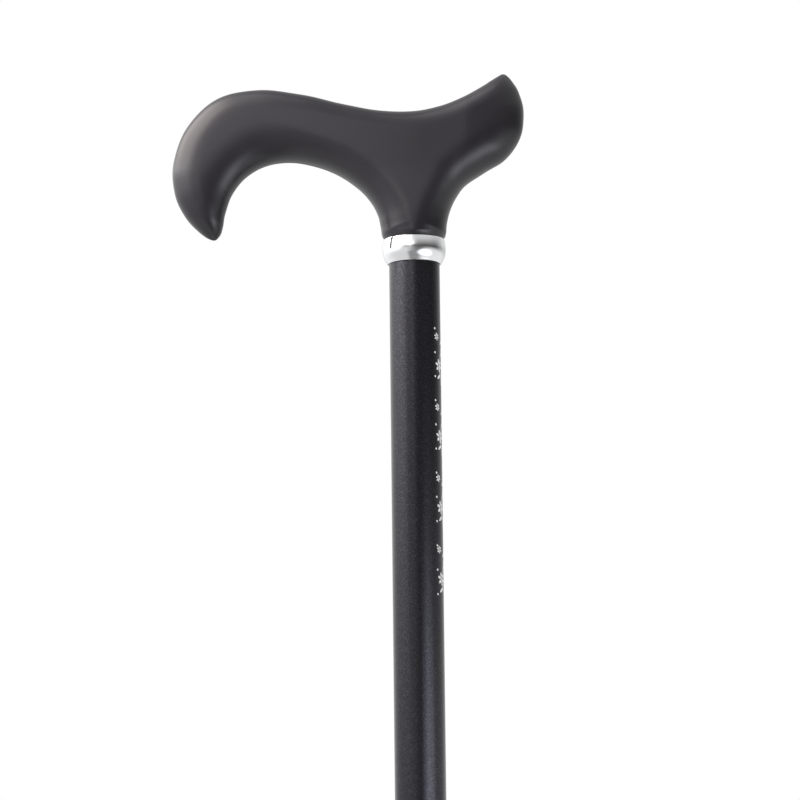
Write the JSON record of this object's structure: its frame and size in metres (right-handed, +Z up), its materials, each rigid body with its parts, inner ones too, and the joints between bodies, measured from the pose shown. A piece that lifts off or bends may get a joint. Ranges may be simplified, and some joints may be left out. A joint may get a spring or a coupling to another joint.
{
  "type": "quad walking cane",
  "caption": "Walking cane with a derby handle, a telescopic shaft locked by a snap button and a ring, and a splayed base on rubber tips.",
  "frame": {"origin": "on the floor, on the axis of the shaft, midway between the four tips", "axes": "+Z up along the shaft, -X towards the handle's nose, -Y towards the snap button"},
  "size_m": [0.218, 0.158, 0.7658],
  "materials": {
    "soft_touch_black": "soft-touch satin",
    "nylon": "moulded",
    "steel": "plain",
    "chrome": "polished",
    "black_aluminium": "black, fine metallic grain",
    "black_plastic": "moulded",
    "silver_aluminium": "satin anodised",
    "black_steel": "powder coat",
    "zinc_steel": "zinc plated",
    "tip_rubber": "moulded"
  },
  "bodies": {
    "base": {"hub": "black_steel", "hub_plug": "black_plastic", "base_bolt": "zinc_steel", "base_washers": "zinc_steel", "base_nut": "zinc_steel", "leg_front_left": "black_steel", "leg_front_right": "black_steel", "leg_rear_left": "black_steel", "leg_rear_right": "black_steel", "tip_front_left": "tip_rubber", "tip_front_right": "tip_rubber", "tip_rear_left": "tip_rubber", "tip_rear_right": "tip_rubber", "tip_washers": "steel", "lower_tube": "silver_aluminium", "tube_guide": "nylon", "button_spring": "steel"},
    "height_button": {"height_button": "steel"},
    "upper_shaft": {"upper_tube": "black_aluminium", "lock_sleeve": "nylon", "collar": "chrome", "handle_pin": "steel", "handle_core": "nylon", "handle_grip": "soft_touch_black"},
    "lock_ring": {"lock_ring": "black_plastic"}
  },
  "joints": [
    {"name": "height_slide", "type": "slide", "parent": "base", "child": "upper_shaft", "axis": [0, 0, 1], "range_m": [0, 0.15]},
    {"name": "button_press", "type": "slide", "parent": "base", "child": "height_button", "axis": [0, 1, 0], "range_m": [0, 0.0046], "stiffness_N_per_m": 2500, "springref_m": -0.002, "deforming": ["button_spring"]},
    {"name": "lock_turn", "type": "hinge", "parent": "upper_shaft", "child": "lock_ring", "pos_m": [0, 0, 0.165], "axis": [0, 0, -1], "range_deg": [0, 180]}
  ]
}
